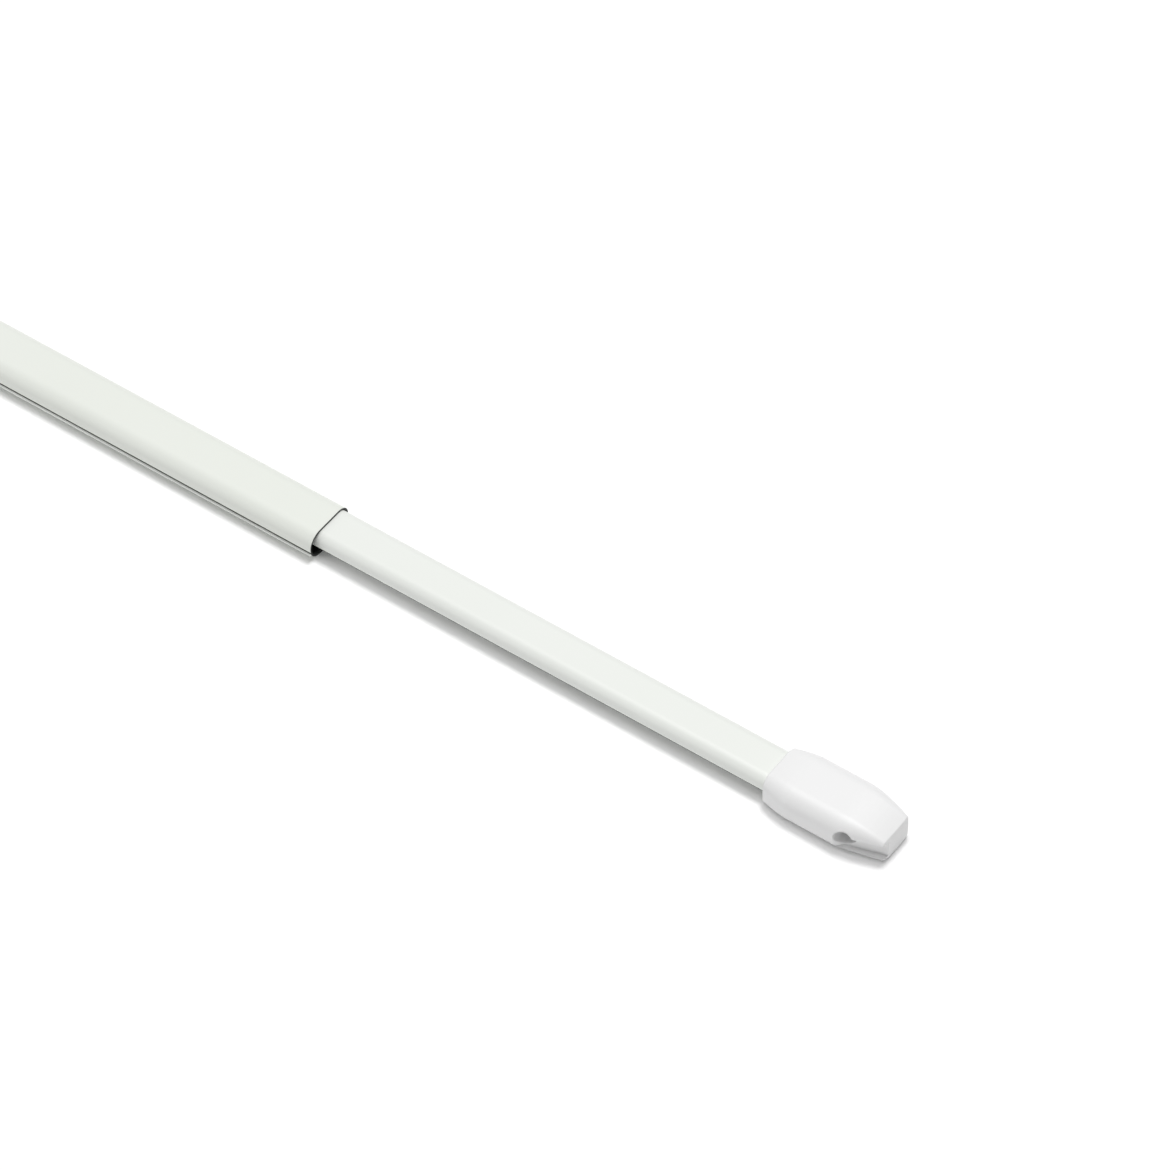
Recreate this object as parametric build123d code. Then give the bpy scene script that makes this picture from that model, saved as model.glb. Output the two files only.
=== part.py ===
from build123d import *
import os

# Extendable curtain rod: two flat oval steel tubes, one sliding in the other, with a hook cap on each end.
#
# Millimetres. The rod lies on its wide face, as it does on a table: X runs along it towards the cap of
# the narrow tube, Y across it and Z up, with the floor at Z = 0. The origin is under the middle of the rod.

# Lengths along the rod.
CLOSED_LENGTH = 400.0       # tip to tip, pushed together
EXTENSION = 95.6            # length of narrow tube that shows in this position
WIDE_CAP_LENGTH = 20.0      # cap of the wide tube, outside the tube
NARROW_CAP_LENGTH = 24.2    # cap of the narrow tube, mouth to tip
PLUG_DEPTH = 8.0            # how far the wide tube's cap plugs into it
SOCKET_DEPTH = 12.0         # how far the narrow tube goes into its cap
END_CLEARANCE = 2.0         # left between the narrow tube and the plug when the rod is closed

# Sections of the two tubes.
WALL = 0.35                 # sheet steel
WIDE_WIDTH = 11.0
WIDE_HEIGHT = 6.0
WIDE_CORNER = 2.8
NARROW_WIDTH = 8.8
NARROW_HEIGHT = 4.0
NARROW_CORNER = 1.95
SLIDING_GAP = 0.3           # between the narrow tube and the far side of the wide one, which it rides along
FIT_GAP = 0.05              # between a tube and the cap that holds it

# The open seam of a roll-formed tube, along one narrow side.
SEAM_GAP = 0.3
SEAM_DROP = 0.75            # how far the wide tube's seam lies below the middle of its side
NARROW_SEAM_DROP = 0.9

# The cap of the narrow tube: it swells from its mouth, runs level, and tapers to its tip.
NARROW_CAP_WIDTH = 12.7
NARROW_CAP_HEIGHT = 6.9
NARROW_CAP_CORNER = 3.1     # of the upper corners
NARROW_CAP_FOOT = 2.4       # radius of the lower corners
MOUTH_WALL = 0.7            # rim round the tube at the mouth, across the rod
MOUTH_RISE = 1.0            # the same, above and below the tube
MOUTH_CORNER = 2.4
MOUTH_FOOT = 1.2
MOUTH_EDGE = 0.25           # chamfer round the mouth's outer edge
SHOULDER_LENGTH = 5.2

# The tapered tip that both caps have.
TAPER_LENGTH = 8.8
TIP_WIDTH = 7.7
TIP_HEIGHT = 5.1
TIP_CORNER = 0.7
TIP_FOOT = 1.6
TIP_EDGE = 0.45             # chamfer round the flat end

# The hook hole across each cap, and the channel from it to the tip on the rod's near side.
HOOK_RADIUS = 1.8
HOOK_FROM_TIP = 7.1
HOOK_RISE = 0.1             # above the middle of the cap's side
CHANNEL_DEPTH = 1.25
CHANNEL_FLOOR = 1.15        # thickness of the lip below the channel
CHANNEL_HEIGHT = 3.35       # between the lip and the roof
OVERCUT = 5.0               # how far cutting tools reach past what they cut

# Stations of the ruled skins, and how each size of a section (width, foot, height, upper and lower corner)
# settles towards the level part: 1 is a straight slope, and 2 a parabola.
SHOULDER_STEPS = 4
TAPER_STEPS = 7
EASE = (1.25, 1.8, 1.8, 1.25, 1.25)

# Places that follow from the sizes above.
WIDE_TUBE_LENGTH = CLOSED_LENGTH - WIDE_CAP_LENGTH - NARROW_CAP_LENGTH
NARROW_TUBE_LENGTH = WIDE_TUBE_LENGTH - PLUG_DEPTH - END_CLEARANCE + SOCKET_DEPTH
TIP_LEFT = -(CLOSED_LENGTH + EXTENSION) / 2
WIDE_TUBE_START = TIP_LEFT + WIDE_CAP_LENGTH
WIDE_TUBE_END = WIDE_TUBE_START + WIDE_TUBE_LENGTH
NARROW_CAP_START = WIDE_TUBE_END + EXTENSION
NARROW_TUBE_END = NARROW_CAP_START + SOCKET_DEPTH
NARROW_TUBE_START = NARROW_TUBE_END - NARROW_TUBE_LENGTH

# The two tubes' axes. The narrow tube and its cap are centred on Y = 0. All but that tube lies on the floor.
NARROW_Z = NARROW_CAP_HEIGHT / 2
WIDE_Y = NARROW_WIDTH / 2 + SLIDING_GAP + WALL - WIDE_WIDTH / 2
WIDE_Z = WIDE_HEIGHT / 2


def across(x, y, z):
    """The plane across the rod at x, with Y to the right and Z up, centred on (y, z)."""
    return Plane(origin=(x, y, z), x_dir=(0, 1, 0), z_dir=(1, 0, 0))


def tube(x, y, z, length, width, height, corner, seam_drop):
    """A flat oval tube of rolled sheet, with its open seam on the near narrow side."""
    outside = RectangleRounded(width, height, corner)
    inside = RectangleRounded(width - 2 * WALL, height - 2 * WALL, corner - WALL)
    solid = extrude(across(x, y, z) * (outside - inside), amount=length)
    seam = Pos(x + length / 2, y - width / 2, z - seam_drop) * Box(length + OVERCUT, 4 * WALL, SEAM_GAP)
    return solid - seam


def wide_tube():
    return tube(
        WIDE_TUBE_START, WIDE_Y, WIDE_Z, WIDE_TUBE_LENGTH,
        WIDE_WIDTH, WIDE_HEIGHT, WIDE_CORNER, SEAM_DROP,
    )


def narrow_tube():
    return tube(
        NARROW_TUBE_START, 0, NARROW_Z, NARROW_TUBE_LENGTH,
        NARROW_WIDTH, NARROW_HEIGHT, NARROW_CORNER, NARROW_SEAM_DROP,
    )


def ease(first, second, share):
    """The sizes of the section that share of the way from first to second, each settling towards the second."""
    return [b + (a - b) * (1 - share) ** power for a, b, power in zip(first, second, EASE)]


def section(x, width, foot, height, corner, foot_corner):
    """A section across the cap at x: a rectangle with rounded corners, its foot at that height."""
    shape = Rectangle(width, height)
    shape = fillet(shape.vertices().sort_by(Axis.Y)[2:], corner)
    shape = fillet(shape.vertices().sort_by(Axis.Y)[:2], foot_corner)
    return across(x, 0, foot + height / 2) * shape


def cap_body(mouth, full, shoulder_length, length):
    """A cap's outside, from its mouth at X = 0 to its tip. Mouth and full hold the sizes of a section."""
    tip = (TIP_WIDTH, 0, TIP_HEIGHT, TIP_CORNER, TIP_FOOT)
    stations = []
    for step in range(SHOULDER_STEPS + 1):
        share = step / SHOULDER_STEPS
        stations.append((shoulder_length * share, ease(mouth, full, share)))
    for step in range(TAPER_STEPS, -1, -1):
        share = step / TAPER_STEPS
        stations.append((length - TAPER_LENGTH * share, ease(tip, full, share)))
    body = loft([section(x, *sizes) for x, sizes in stations], ruled=True)
    return chamfer(body.faces().sort_by(Axis.X)[-1].edges(), TIP_EDGE)


def cut_hook_hole(cap, length, width, height, side):
    """The hook hole across the cap, and the channel from it to the tip. Side is 1 for a channel on +Y, -1 on -Y."""
    hole_x = length - HOOK_FROM_TIP
    cap -= Pos(hole_x, 0, height / 2 + HOOK_RISE) * Rot(90, 0, 0) * Cylinder(HOOK_RADIUS, width + OVERCUT)
    # In plan the channel's back falls in from the hole's far rim, has its full depth by the hole's middle, and
    # then follows the tapering side to the tip.
    side_y = ease((TIP_WIDTH,), (width,), HOOK_FROM_TIP / TAPER_LENGTH)[0] / 2
    back_y = side_y - CHANNEL_DEPTH
    tip_y = TIP_WIDTH / 2 - CHANNEL_DEPTH
    past_tip_y = tip_y + (tip_y - back_y) / HOOK_FROM_TIP * OVERCUT
    far_y = width + OVERCUT
    outline = Polyline(
        (hole_x - HOOK_RADIUS, width / 2), (hole_x, back_y), (length, tip_y), (length + OVERCUT, past_tip_y),
        (length + OVERCUT, far_y), (hole_x - HOOK_RADIUS, far_y), close=True,
    )
    channel = extrude(Plane.XY.offset(CHANNEL_FLOOR) * make_face(outline), amount=CHANNEL_HEIGHT)
    return cap - (channel if side > 0 else mirror(channel, about=Plane.XZ))


def narrow_cap():
    """The cap over the end of the narrow tube: a swelling body with a socket, and the tapered tip."""
    mouth_height = NARROW_HEIGHT + 2 * MOUTH_RISE
    mouth_foot = (NARROW_CAP_HEIGHT - mouth_height) / 2
    mouth = (NARROW_WIDTH + 2 * MOUTH_WALL, mouth_foot, mouth_height, MOUTH_CORNER, MOUTH_FOOT)
    full = (NARROW_CAP_WIDTH, 0, NARROW_CAP_HEIGHT, NARROW_CAP_CORNER, NARROW_CAP_FOOT)
    cap = cap_body(mouth, full, SHOULDER_LENGTH, NARROW_CAP_LENGTH)
    cap = chamfer(cap.faces().sort_by(Axis.X)[0].edges(), MOUTH_EDGE)
    socket = RectangleRounded(NARROW_WIDTH + 2 * FIT_GAP, NARROW_HEIGHT + 2 * FIT_GAP, NARROW_CORNER + FIT_GAP)
    cap -= extrude(across(-OVERCUT, 0, NARROW_Z) * socket, amount=SOCKET_DEPTH + OVERCUT)
    cap = cut_hook_hole(cap, NARROW_CAP_LENGTH, NARROW_CAP_WIDTH, NARROW_CAP_HEIGHT, -1)
    return Pos(NARROW_CAP_START, 0, 0) * cap


def wide_cap():
    """The cap in the end of the wide tube: flush with the tube, held by a plug, with the same tapered tip."""
    full = (WIDE_WIDTH, 0, WIDE_HEIGHT, WIDE_CORNER, WIDE_CORNER)
    cap = cap_body(full, full, (WIDE_CAP_LENGTH - TAPER_LENGTH) / 2, WIDE_CAP_LENGTH)
    cap = cut_hook_hole(cap, WIDE_CAP_LENGTH, WIDE_WIDTH, WIDE_HEIGHT, 1)
    inset = WALL + FIT_GAP
    plug = RectangleRounded(WIDE_WIDTH - 2 * inset, WIDE_HEIGHT - 2 * inset, WIDE_CORNER - inset)
    cap += extrude(across(-PLUG_DEPTH, 0, WIDE_Z) * plug, amount=PLUG_DEPTH)
    return Pos(WIDE_TUBE_START, WIDE_Y, 0) * Rot(0, 0, 180) * cap


NODES = {
    "outer_tube": wide_tube,
    "outer_end_cap": wide_cap,
    "inner_tube": narrow_tube,
    "inner_end_cap": narrow_cap,
}

os.makedirs("parts", exist_ok=True)
for name, make in NODES.items():
    export_step(make(), f"parts/{name}.step")
print("inner tube range:", -EXTENSION, "to", NARROW_TUBE_LENGTH - SOCKET_DEPTH - EXTENSION, "mm at most")
print("hook holes at x:", NARROW_CAP_START + NARROW_CAP_LENGTH - HOOK_FROM_TIP, TIP_LEFT + HOOK_FROM_TIP)
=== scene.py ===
# %% [markdown]
# # An extendable curtain rod
#
# This notebook dresses a light curtain rod: two flat oval tubes of painted sheet steel, one sliding
# in the other, with a moulded white cap on each end. The pieces come finished in shape, so most of
# the work here is the finish of each one, the floor it lies on, and the light.

# %% Load the pieces
import bpy
import math
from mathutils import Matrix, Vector


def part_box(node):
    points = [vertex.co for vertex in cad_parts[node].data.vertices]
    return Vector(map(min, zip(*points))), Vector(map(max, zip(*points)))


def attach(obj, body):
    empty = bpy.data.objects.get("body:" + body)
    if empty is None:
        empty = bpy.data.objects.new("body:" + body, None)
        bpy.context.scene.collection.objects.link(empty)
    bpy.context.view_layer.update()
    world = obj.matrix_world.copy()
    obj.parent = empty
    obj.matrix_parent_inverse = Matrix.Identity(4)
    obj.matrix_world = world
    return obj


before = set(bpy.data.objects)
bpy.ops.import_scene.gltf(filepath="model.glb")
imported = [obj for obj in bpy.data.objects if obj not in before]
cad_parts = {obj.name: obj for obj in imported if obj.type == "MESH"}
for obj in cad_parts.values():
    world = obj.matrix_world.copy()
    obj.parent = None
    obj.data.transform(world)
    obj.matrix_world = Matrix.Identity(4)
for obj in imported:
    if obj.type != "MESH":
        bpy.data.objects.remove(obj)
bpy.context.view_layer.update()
MM = 0.001
BUMP_DEPTH = 0.01 * MM       # of the fine relief on the tubes and the caps
print("pieces:", sorted(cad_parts))

# %% [markdown]
# ## A few small helpers
#
# Colours are easiest to choose as sRGB hex values, the way a paint card gives them, but the shader
# works in linear light. One function turns the first into the second. The others add a shader node,
# set its values and wire its inputs, so that each material below reads as a short recipe.


# %% Colour and node helpers
def paint(hex_code):
    """A hex colour such as '#EDEFEA' as linear red, green, blue and alpha."""
    parts = [int(hex_code[i:i + 2], 16) / 255 for i in (1, 3, 5)]
    linear = [c / 12.92 if c <= 0.04045 else ((c + 0.055) / 1.055) ** 2.4 for c in parts]
    return (*linear, 1.0)


def add(tree, kind, inputs=None, **settings):
    """Adds a node of that kind. A plain input value is set, and a socket given as input is linked."""
    node = tree.nodes.new(kind)
    for key, value in settings.items():
        setattr(node, key, value)
    for key, value in (inputs or {}).items():
        if isinstance(value, bpy.types.NodeSocket):
            tree.links.new(value, node.inputs[key])
        else:
            node.inputs[key].default_value = value
    return node


def work_out(tree, operation, *values):
    """A math node's result from one to three numbers or sockets."""
    return add(tree, "ShaderNodeMath", dict(enumerate(values)), operation=operation).outputs[0]


def new_material(name):
    """A node material that has no nodes yet, and its node tree."""
    material = bpy.data.materials.new(name)
    material.use_nodes = True
    material.node_tree.nodes.clear()
    return material, material.node_tree


print("#EDEFEA in linear light:", [round(c, 3) for c in paint("#EDEFEA")])

# %% [markdown]
# ## The tubes: stove enamel on sheet steel
#
# The tubes are rolled from thin steel strip that was painted white and baked. Baked enamel is smooth
# and a little glossy, with a very fine orange peel that softens the edge of each highlight. The paint
# is on the outside only. Inside, where the tube was sheared to length, and along the slit edges of the
# seam, the steel is bare. It is coloured a dark grey that also stands for painted shade inside the tube,
# on the cut ends and in the gap of the seam, so the cuts show as thin dark lines and the open mouth looks
# black.
#
# The bare and shaded places could be given a second material face by face. Here one material tells them
# apart by where a point lies and which way its face looks, so it doesn't depend on how the mesh was
# divided.


# %% Baked enamel
ENAMEL_PEEL = 1.4 * MM       # size of one swelling of the orange peel
ENAMEL_CLOUD = 30 * MM       # slow drift in the colour of the paint
# the dark band along the seam is bare steel edges and painted shade in the gap
SLIT_EDGE = 0.19 * MM        # half of the bare band along the seam, gap and all
OUTER_SEAM_DROP = 0.75 * MM  # how far each seam lies below the middle of its tube
INNER_SEAM_DROP = 0.9 * MM
LOOKS_ALONG = 0.98           # part of a normal along the rod from which a face counts as a sheared end
LOOKS_NEAR = -0.3            # part of a normal across the rod from which a face counts as the near side


def from_the_axis(tree, piece, place):
    """Where a point lies from the middle of the tube, and the true normal there, in the tube's own axes."""
    geometry = add(tree, "ShaderNodeNewGeometry")
    normal = add(
        tree, "ShaderNodeVectorTransform", {"Vector": geometry.outputs["True Normal"]},
        vector_type="NORMAL", convert_from="WORLD", convert_to="OBJECT",
    )
    corners = [Vector(c) for c in piece.bound_box]
    middle = sum(corners, Vector()) / len(corners)
    offset = add(tree, "ShaderNodeVectorMath", {0: place, 1: middle}, operation="SUBTRACT")
    return offset.outputs["Vector"], normal.outputs["Vector"]


def bare_steel_and_shade_mask(tree, offset, normal, seam_drop):
    """1 where the dark grey goes: on the sheared ends, which look along the rod, on the inner wall and on
    the edges of the seam, as bare steel and painted shade.
    """
    look = add(tree, "ShaderNodeSeparateXYZ", {"Vector": normal})
    height = add(tree, "ShaderNodeSeparateXYZ", {"Vector": offset}).outputs["Z"]
    along = work_out(tree, "ABSOLUTE", look.outputs["X"])
    sheared = work_out(tree, "GREATER_THAN", along, LOOKS_ALONG)
    arm = add(tree, "ShaderNodeVectorMath", {0: offset, 1: (0.0, 1.0, 1.0)}, operation="MULTIPLY")
    outward = add(
        tree, "ShaderNodeVectorMath", {0: arm.outputs["Vector"], 1: normal}, operation="DOT_PRODUCT",
    )
    inner = work_out(tree, "LESS_THAN", outward.outputs["Value"], 0.0)
    near = work_out(tree, "LESS_THAN", look.outputs["Y"], LOOKS_NEAR)
    slit = work_out(tree, "COMPARE", height, -seam_drop, SLIT_EDGE)
    seam = work_out(tree, "MULTIPLY", near, slit)
    cut = work_out(tree, "MAXIMUM", sheared, seam)
    return work_out(tree, "MAXIMUM", cut, inner)


def baked_enamel(name, piece, first, second, seam_drop):
    """Enamel that drifts between two colours, on a tube of bare steel whose dark grey also paints the shade
    inside it and in its cuts.
    """
    material, tree = new_material(name)
    place = add(tree, "ShaderNodeTexCoord").outputs["Object"]
    offset, normal = from_the_axis(tree, piece, place)
    cloud = add(tree, "ShaderNodeTexNoise", {"Vector": place, "Scale": 1 / ENAMEL_CLOUD, "Detail": 2.0})
    colour = add(
        tree, "ShaderNodeMix",
        {"Factor": cloud.outputs["Fac"], "A": paint(first), "B": paint(second)},
        data_type="RGBA",
    )
    peel = add(tree, "ShaderNodeTexNoise", {"Vector": place, "Scale": 1 / ENAMEL_PEEL, "Detail": 1.0})
    bump = add(
        tree, "ShaderNodeBump",
        {"Strength": 0.12, "Distance": BUMP_DEPTH, "Height": peel.outputs["Fac"]},
    )
    enamel = add(
        tree, "ShaderNodeBsdfPrincipled",
        {
            "Base Color": colour.outputs["Result"], "Roughness": 0.38, "IOR": 1.5,
            "Normal": bump.outputs["Normal"],
        },
    )
    # dark grey: bare steel, and painted shade inside the tube, on the cut ends and in the gap of the seam
    steel = add(
        tree, "ShaderNodeBsdfPrincipled",
        {"Base Color": paint("#3C3E3D"), "Metallic": 0.6, "Roughness": 0.6},
    )
    bare = bare_steel_and_shade_mask(tree, offset, normal, seam_drop)
    mix = add(tree, "ShaderNodeMixShader", {0: bare, 1: enamel.outputs[0], 2: steel.outputs[0]})
    add(tree, "ShaderNodeOutputMaterial", {"Surface": mix.outputs[0]})
    return material


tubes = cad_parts
outer_enamel = baked_enamel(
    "baked_enamel_outer_tube", tubes["outer_tube"], "#DFE2DB", "#E2E5DF", OUTER_SEAM_DROP,
)
inner_enamel = baked_enamel(
    "baked_enamel_inner_tube", tubes["inner_tube"], "#E2E5E0", "#E5E7E3", INNER_SEAM_DROP,
)
print("made", outer_enamel.name, "and", inner_enamel.name)

# %% [markdown]
# ## The caps: injection moulded polyamide
#
# The caps are moulded in white polyamide. It is whiter and softer looking than the enamel, because
# light enters it a little way before it comes back out. The mould was lightly spark eroded, which
# leaves a fine satin grain instead of a polish, and no edge of a moulding is quite sharp.
#
# A bevel modifier could round the edges in the mesh. The shader rounds them here, which only bends the
# light over each edge and leaves the piece as large as it was made.


# %% Moulded polyamide
MOULD_GRAIN = 0.25 * MM
MOULD_EDGE = 0.3 * MM        # rounding of the edges


def moulded_polyamide():
    """White plastic with a fine grain, softened edges and a little light inside it."""
    material, tree = new_material("moulded_polyamide")
    place = add(tree, "ShaderNodeTexCoord").outputs["Object"]
    grain = add(tree, "ShaderNodeTexNoise", {"Vector": place, "Scale": 1 / MOULD_GRAIN, "Detail": 2.0})
    edge = add(tree, "ShaderNodeBevel", {"Radius": MOULD_EDGE}, samples=6)
    bump = add(
        tree, "ShaderNodeBump",
        {
            "Strength": 0.15, "Distance": BUMP_DEPTH, "Height": grain.outputs["Fac"],
            "Normal": edge.outputs["Normal"],
        },
    )
    rough = add(
        tree, "ShaderNodeMapRange",
        {"Value": grain.outputs["Fac"], "To Min": 0.42, "To Max": 0.5},
    )
    plastic = add(
        tree, "ShaderNodeBsdfPrincipled",
        {
            "Base Color": paint("#E6E6E6"), "Roughness": rough.outputs["Result"], "IOR": 1.53,
            "Subsurface Weight": 0.3, "Subsurface Radius": (1.0, 1.0, 1.0), "Subsurface Scale": 0.8 * MM,
            "Normal": bump.outputs["Normal"],
        },
    )
    add(tree, "ShaderNodeOutputMaterial", {"Surface": plastic.outputs[0]})
    return material


polyamide_material = moulded_polyamide()
print("made", polyamide_material.name)

# %% [markdown]
# ## Give each piece its finish
#
# Each tube has an enamel of its own, since its bare places are measured from its own middle, and that
# of the inner tube is a trace lighter. Both caps share one plastic.

# %% Finishes
FINISHES = {
    "outer_tube": outer_enamel,
    "inner_tube": inner_enamel,
    "outer_end_cap": polyamide_material,
    "inner_end_cap": polyamide_material,
}
for node, material in FINISHES.items():
    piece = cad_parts[node]
    piece.data.materials.clear()
    piece.data.materials.append(material)
    print(node, "->", material.name, len(piece.data.polygons), "faces")

# %% [markdown]
# ## The rolled edge under the seam
#
# A thin bright line runs below the dark seam of the outer tube. It is taken here for the lower edge of
# the strip, which the rollers may have turned over a little.
#
# A bump in the enamel didn't show at this size, so the edge is a thin bead of real faces, half let into
# the side of the tube and a little short of its ends. Its enamel is lighter than that of the tube: a
# painted highlight for the light the edge catches.


# %% Rolled edge
EDGE_DROP = 1.17 * MM        # from the middle of the tube down to the middle of the edge
EDGE_HEIGHT = 0.44 * MM
EDGE_STANDS_OUT = 0.25 * MM
EDGE_INSET = 0.05 * MM       # from each end of the tube
EDGE_SIDES = 10


def rolled_edge(node, below_middle, height, stand_out):
    """A bead along the near side of a flat oval tube, that far below its middle, half let into it."""
    low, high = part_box(node)
    middle_z = (low[2] + high[2]) / 2 - below_middle
    turns = [2 * math.pi * i / EDGE_SIDES for i in range(EDGE_SIDES)]
    ring = [(low[1] + stand_out * math.cos(a), middle_z + height / 2 * math.sin(a)) for a in turns]
    ends = (low[0] + EDGE_INSET, high[0] - EDGE_INSET)
    verts = [(x, y, z) for x in ends for y, z in ring]
    faces = []
    for i in range(EDGE_SIDES):
        after = (i + 1) % EDGE_SIDES
        faces.append((i, after, EDGE_SIDES + after, EDGE_SIDES + i))
    faces += [tuple(range(EDGE_SIDES))[::-1], tuple(range(EDGE_SIDES, 2 * EDGE_SIDES))]
    mesh = bpy.data.meshes.new("rolled_edge")
    mesh.from_pydata(verts, [], faces)
    mesh.shade_smooth()
    bead = bpy.data.objects.new("rolled_edge", mesh)
    bpy.context.scene.collection.objects.link(bead)
    return bead


def edge_enamel_with_painted_highlight():
    """Baked enamel on the turned edge, smoother and a little glossier than on the flat of the tube, and
    lighter in colour as a painted highlight.
    """
    material, tree = new_material("baked_enamel_on_an_edge_painted_highlight")
    place = add(tree, "ShaderNodeTexCoord").outputs["Object"]
    sag = add(tree, "ShaderNodeTexNoise", {"Vector": place, "Scale": 1 / ENAMEL_CLOUD, "Detail": 1.0})
    rough = add(
        tree, "ShaderNodeMapRange",
        {"Value": sag.outputs["Fac"], "To Min": 0.28, "To Max": 0.34},
    )
    # F2F4F0 is lighter than the tube's enamel: a painted highlight along the edge
    enamel = add(
        tree, "ShaderNodeBsdfPrincipled",
        {"Base Color": paint("#F2F4F0"), "Roughness": rough.outputs["Result"], "IOR": 1.5},
    )
    add(tree, "ShaderNodeOutputMaterial", {"Surface": enamel.outputs[0]})
    return material


edge = rolled_edge("outer_tube", EDGE_DROP, EDGE_HEIGHT, EDGE_STANDS_OUT)
edge.data.materials.append(edge_enamel_with_painted_highlight())
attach(edge, "outer_section")
print("rolled edge:", len(edge.data.polygons), "faces")

# %% [markdown]
# ## Floor and light
#
# Product photographs of this kind are shot on a white sweep, bright enough for the floor to burn out
# to white. Nearly all of the light comes from above, so the wide faces are bright, the near narrow
# sides fall into half shade, and a short shadow lies along the near edge.
#
# The sweep is one flat sheet, so large that its edge stays out of the picture. It belongs to the picture
# and not to the rod.


# %% Floor
FLOOR_HALF = 3.0             # metres, half of the sheet's side


def white_sweep():
    """The pale floor, which isn't part of the object."""
    half = FLOOR_HALF
    mesh = bpy.data.meshes.new("floor")
    corners = [(-half, -half, 0), (half, -half, 0), (half, half, 0), (-half, half, 0)]
    mesh.from_pydata([Vector(c) for c in corners], [], [(0, 1, 2, 3)])
    floor = bpy.data.objects.new("floor", mesh)
    bpy.context.scene.collection.objects.link(floor)
    material, tree = new_material("white_sweep")
    card = add(tree, "ShaderNodeBsdfPrincipled", {"Base Color": paint("#FCFCFC"), "Roughness": 0.9})
    add(tree, "ShaderNodeOutputMaterial", {"Surface": card.outputs[0]})
    mesh.materials.append(material)
    return floor


white_sweep()

# %% [markdown]
# ## Three lamps and the room
#
# A small lamp a little behind the rod draws the edge of the shadow, and a wide one overhead softens it.
# A weak lamp in front, with the light of the white room, keeps the near sides from going grey. Each
# lamp does one job, so each could be set by itself.


# %% Lamps
LIT_PLACE = (0.15, 0.0, 0.0)     # metres, about the middle of what the picture shows of the rod
ROOM_LIGHT = 0.376


def soft_lamp(name, place, aim, size, power):
    """A rectangular lamp at that place that faces aim. Places and size are in metres, power in watts."""
    light = bpy.data.lights.new(name, "AREA")
    light.shape = "RECTANGLE"
    light.size, light.size_y = size
    light.energy = power
    lamp = bpy.data.objects.new(name, light)
    bpy.context.scene.collection.objects.link(lamp)
    lamp.location = place
    lamp.rotation_mode = "QUATERNION"
    lamp.rotation_quaternion = (Vector(aim) - Vector(place)).to_track_quat("-Z", "Y")
    return lamp


soft_lamp("back_key", (0.15, 0.27, 1.06), LIT_PLACE, (0.3, 0.3), 5.5)
soft_lamp("overhead_softbox", (0.1, 0.0, 1.1), LIT_PLACE, (0.8, 0.4), 3.76)
soft_lamp("front_fill", (-0.3, -0.9, 0.45), LIT_PLACE, (0.6, 0.5), 0.8)

world = bpy.data.worlds.new("studio")
world.use_nodes = True
room = world.node_tree.nodes["Background"]
room.inputs["Color"].default_value = (1.0, 1.0, 1.0, 1.0)
room.inputs["Strength"].default_value = ROOM_LIGHT
bpy.context.scene.world = world
bpy.context.scene.view_settings.view_transform = "Standard"

# %% [markdown]
# ## The camera
#
# The picture looks down on the rod from its near side with a long lens, so that the rod runs from the
# upper left to the lower right and leaves the frame on the left. The place, tilt and lens were
# worked out from the edges of the tubes in the photograph. The place is given by two angles and a
# distance, which are easier to adjust than three coordinates.

# %% Camera
AZIMUTH = math.radians(35.511)
ELEVATION = math.radians(48.977)
DISTANCE = 1033.6 * MM
LOOKED_AT = Vector((170.4, 17.8, 0.0)) * MM
FOCAL_LENGTH = 180.9

back = Vector((
    math.sin(AZIMUTH) * math.cos(ELEVATION),
    -math.cos(AZIMUTH) * math.cos(ELEVATION),
    math.sin(ELEVATION),
))
lens = bpy.data.cameras.new("camera")
lens.sensor_width = 36.0
lens.lens = FOCAL_LENGTH
camera = bpy.data.objects.new("camera", lens)
bpy.context.scene.collection.objects.link(camera)
camera.location = LOOKED_AT + back * DISTANCE
camera.rotation_mode = "QUATERNION"
camera.rotation_quaternion = (-back).to_track_quat("-Z", "Y")
bpy.context.scene.camera = camera
print("camera at", [round(c, 3) for c in camera.location])
